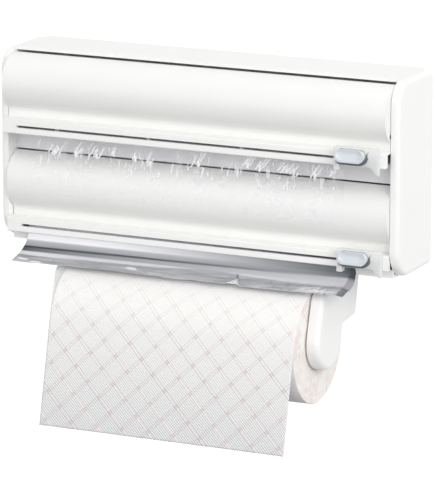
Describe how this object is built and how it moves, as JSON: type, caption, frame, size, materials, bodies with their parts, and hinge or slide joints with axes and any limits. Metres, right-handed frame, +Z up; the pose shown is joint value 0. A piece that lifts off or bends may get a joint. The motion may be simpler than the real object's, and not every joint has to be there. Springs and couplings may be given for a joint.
{
  "type": "wall-mounted roll dispenser",
  "caption": "Wall dispenser: hinged lids over cling film and foil with slotted rails and slide cutters, above swing-out arms that carry a kitchen roll.",
  "frame": {"origin": "middle of the wall screw pattern, on the back face against the wall", "axes": "+X to the right along the rolls, +Y back into the wall, +Z up"},
  "size_m": [0.37, 0.1456, 0.3068],
  "materials": {
    "white_plastic": "moulded, glossy",
    "grey_white_plastic": "moulded, satin",
    "cutter_plastic": "moulded, glossy",
    "spring_steel": "bright",
    "grey_card": "matte",
    "cling_film": "clear, glossy",
    "kitchen_foil": "bright, rolled",
    "tissue_paper": "embossed, printed with a diamond plaid"
  },
  "bodies": {
    "housing": {"back_panel": "white_plastic", "top_panel": "white_plastic", "middle_shelf": "grey_white_plastic", "base_panel": "white_plastic", "left_end_cap": "white_plastic", "right_end_cap": "white_plastic", "roll_bracket": "grey_white_plastic", "bracket_screws": "spring_steel", "left_hinge_pin": "spring_steel", "right_hinge_pin": "spring_steel", "film_web": "cling_film", "foil_sheet": "kitchen_foil", "paper_sheet": "tissue_paper"},
    "upper_lid": {"upper_lid": "white_plastic", "upper_rail": "white_plastic"},
    "lower_lid": {"lower_lid": "white_plastic", "lower_rail": "white_plastic", "film_tail": "cling_film"},
    "upper_cutter": {"upper_slider": "cutter_plastic", "upper_shoe": "grey_white_plastic", "upper_spring": "spring_steel"},
    "lower_cutter": {"lower_slider": "cutter_plastic", "lower_shoe": "grey_white_plastic", "lower_spring": "spring_steel"},
    "upper_button": {"upper_button": "cutter_plastic", "upper_blade": "spring_steel"},
    "lower_button": {"lower_button": "cutter_plastic", "lower_blade": "spring_steel"},
    "film_roll": {"film_core": "grey_card", "film_roll": "cling_film"},
    "foil_roll": {"foil_core": "grey_card", "foil_roll": "kitchen_foil"},
    "paper_roll": {"paper_core": "grey_card", "paper_roll": "tissue_paper"},
    "left_arm": {"left_arm": "grey_white_plastic", "left_hub": "grey_white_plastic"},
    "right_arm": {"right_arm": "grey_white_plastic", "right_hub": "grey_white_plastic"}
  },
  "joints": [
    {"name": "upper_lid_hinge", "type": "hinge", "parent": "housing", "child": "upper_lid", "pos_m": [0, -0.0605, 0.0762], "axis": [-1, 0, 0], "range_deg": [0, 85]},
    {"name": "lower_lid_hinge", "type": "hinge", "parent": "housing", "child": "lower_lid", "pos_m": [0, -0.06, -0.0089], "axis": [-1, 0, 0], "range_deg": [0, 50]},
    {"name": "upper_cutter_slide", "type": "slide", "parent": "upper_lid", "child": "upper_cutter", "axis": [-1, 0, 0], "range_m": [0, 0.3]},
    {"name": "upper_button_press", "type": "slide", "parent": "upper_cutter", "child": "upper_button", "axis": [0, 1, 0], "range_m": [0, 0.002], "stiffness_N_per_m": 400, "deforming": ["upper_spring"]},
    {"name": "lower_cutter_slide", "type": "slide", "parent": "lower_lid", "child": "lower_cutter", "axis": [-1, 0, 0], "range_m": [0, 0.3]},
    {"name": "lower_button_press", "type": "slide", "parent": "lower_cutter", "child": "lower_button", "axis": [0, 1, 0], "range_m": [0, 0.002], "stiffness_N_per_m": 400, "deforming": ["lower_spring"]},
    {"name": "film_roll_spin", "type": "hinge", "parent": "housing", "child": "film_roll", "pos_m": [0, -0.032, 0.0415], "axis": [1, 0, 0], "continuous": true},
    {"name": "foil_roll_spin", "type": "hinge", "parent": "housing", "child": "foil_roll", "pos_m": [0, -0.029, -0.054], "axis": [1, 0, 0], "continuous": true},
    {"name": "paper_roll_spin", "type": "hinge", "parent": "housing", "child": "paper_roll", "pos_m": [0, -0.075, -0.145], "axis": [1, 0, 0], "continuous": true},
    {"name": "left_arm_swing", "type": "hinge", "parent": "housing", "child": "left_arm", "pos_m": [-0.1182, -0.043, -0.0905], "axis": [0, 1, 0], "range_deg": [0, 30]},
    {"name": "right_arm_swing", "type": "hinge", "parent": "housing", "child": "right_arm", "pos_m": [0.1182, -0.043, -0.0905], "axis": [0, -1, 0], "range_deg": [0, 30]}
  ]
}
